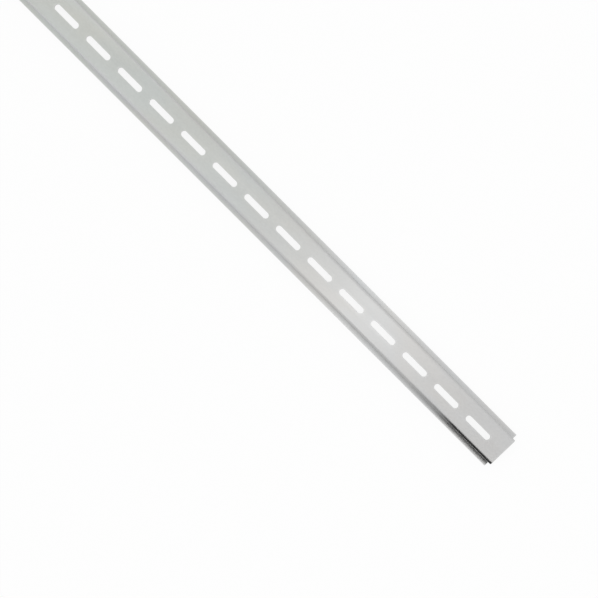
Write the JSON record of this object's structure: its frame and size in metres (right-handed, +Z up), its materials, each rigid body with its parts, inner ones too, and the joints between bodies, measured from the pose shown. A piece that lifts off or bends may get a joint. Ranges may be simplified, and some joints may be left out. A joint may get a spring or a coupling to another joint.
{
  "type": "din rail",
  "caption": "Slotted top-hat mounting rail in light grey aluminium; a row of slots in its web screws it to a panel and its two flanges take clip-on devices.",
  "frame": {"origin": "middle of the surface that the two flanges lie on", "axes": "+X along the rail, +Y across it, +Z up towards the back of the web"},
  "size_m": [1, 0.035, 0.0075],
  "materials": {
    "rail_metal": "satin mill finish with faint lines along the length, sawn ends and punched slots"
  },
  "bodies": {
    "root": {"rail": "rail_metal"}
  },
  "joints": []
}
